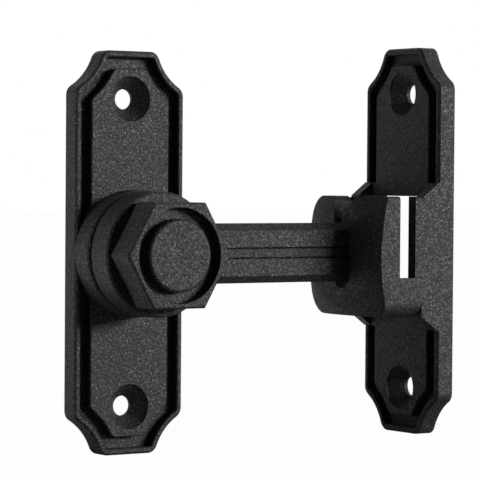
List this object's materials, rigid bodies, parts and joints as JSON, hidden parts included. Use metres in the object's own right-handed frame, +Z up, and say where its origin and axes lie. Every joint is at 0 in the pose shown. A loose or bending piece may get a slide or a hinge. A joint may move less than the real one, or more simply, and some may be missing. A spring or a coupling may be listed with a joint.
{
  "type": "barn door latch",
  "caption": "Flip latch for a sliding door: a bar on a plate drops into the slotted, hollow box of a keeper that stands square to it.",
  "frame": {"origin": "on the latch plate's mounting face, where the pivot axis meets it, midway between its two screw holes", "axes": "+X from the pivot towards the keeper, +Y into the door, +Z up"},
  "size_m": [0.0775, 0.025, 0.0822],
  "materials": {
    "powder_coat": "fine-textured black powder coat on a zinc die casting",
    "nylon": "black moulded nylon",
    "spring_steel": "blued spring steel"
  },
  "bodies": {
    "fixed_parts": {"latch_plate": "powder_coat", "rear_washer": "nylon", "spring_washer": "spring_steel", "hex_collar": "powder_coat", "pivot_pin": "powder_coat", "keeper_plate": "powder_coat"},
    "arm": {"latch_arm": "powder_coat"}
  },
  "joints": [
    {"name": "arm_pivot", "type": "hinge", "parent": "fixed_parts", "child": "arm", "pos_m": [0, -0.0125, 0], "axis": [0, -1, 0], "range_deg": [-1.4, 336]}
  ]
}
